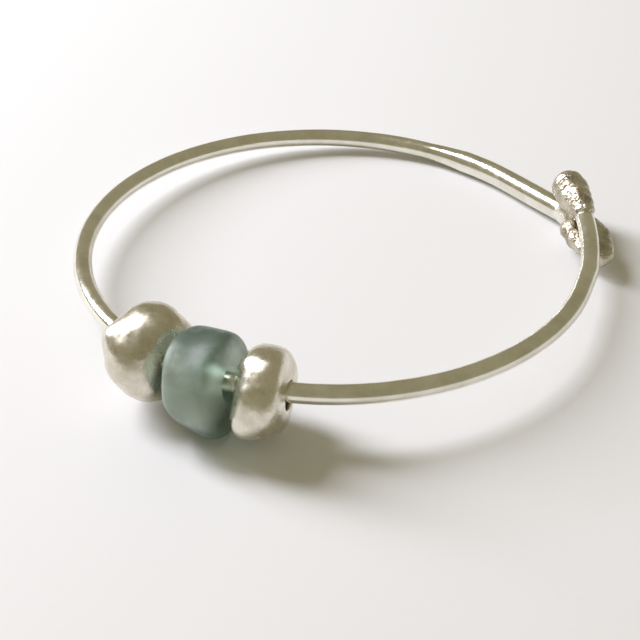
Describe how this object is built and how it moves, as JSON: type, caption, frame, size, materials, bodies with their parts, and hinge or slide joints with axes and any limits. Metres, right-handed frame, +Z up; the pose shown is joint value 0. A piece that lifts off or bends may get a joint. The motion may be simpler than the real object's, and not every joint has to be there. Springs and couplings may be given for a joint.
{
  "type": "bangle bracelet",
  "caption": "Open wire bangle whose ends cross in a hook-and-saddle clasp, strung with a loose cluster of round silver and frosted glass beads.",
  "frame": {"origin": "on the surface the bangle lies on, straight below the centre of the hoop, which is the middle of the opening the wrist goes through", "axes": "+Z up from the surface, +X towards the clasp, so that the beads are on the -X -Y side"},
  "size_m": [0.0678, 0.0665, 0.0125],
  "materials": {
    "silver_wire": "satin drawn silver with a faint warm tarnish",
    "nugget_silver": "melted and grainy silver, darker in its hollows",
    "bead_silver": "hammered and brushed silver, uneven",
    "sea_glass": "frosted sea-green glass, cloudy, no gloss"
  },
  "bodies": {
    "back_arm": {"back_arm": "silver_wire", "keeper_nugget": "nugget_silver"},
    "front_arm": {"front_arm": "silver_wire", "hook_nugget": "nugget_silver"},
    "left_silver_bead": {"left_silver_bead": "bead_silver"},
    "glass_bead": {"glass_bead": "sea_glass"},
    "right_silver_bead": {"right_silver_bead": "bead_silver"}
  },
  "joints": [
    {"name": "clasp_opening", "type": "hinge", "parent": "back_arm", "child": "front_arm", "pos_m": [-0.03094, 0.00946, 0.00501], "axis": [-0.2349, -0.774, -0.588], "range_deg": [0, 24], "stiffness_Nm_per_rad": 1.6},
    {"name": "left_bead_slide", "type": "hinge", "parent": "front_arm", "child": "left_silver_bead", "pos_m": [0, 0, 0.00509], "axis": [0.0177, 0.0672, 0.9976], "range_deg": [-50, 55]},
    {"name": "glass_bead_spin", "type": "hinge", "parent": "left_silver_bead", "child": "glass_bead", "pos_m": [-0.01769, -0.02562, 0.00673], "axis": [0.861, -0.5083, 0.0189], "continuous": true},
    {"name": "right_bead_slide", "type": "hinge", "parent": "left_silver_bead", "child": "right_silver_bead", "pos_m": [0, 0, 0.00509], "axis": [0.0177, 0.0672, 0.9976], "range_deg": [0, 27]}
  ]
}
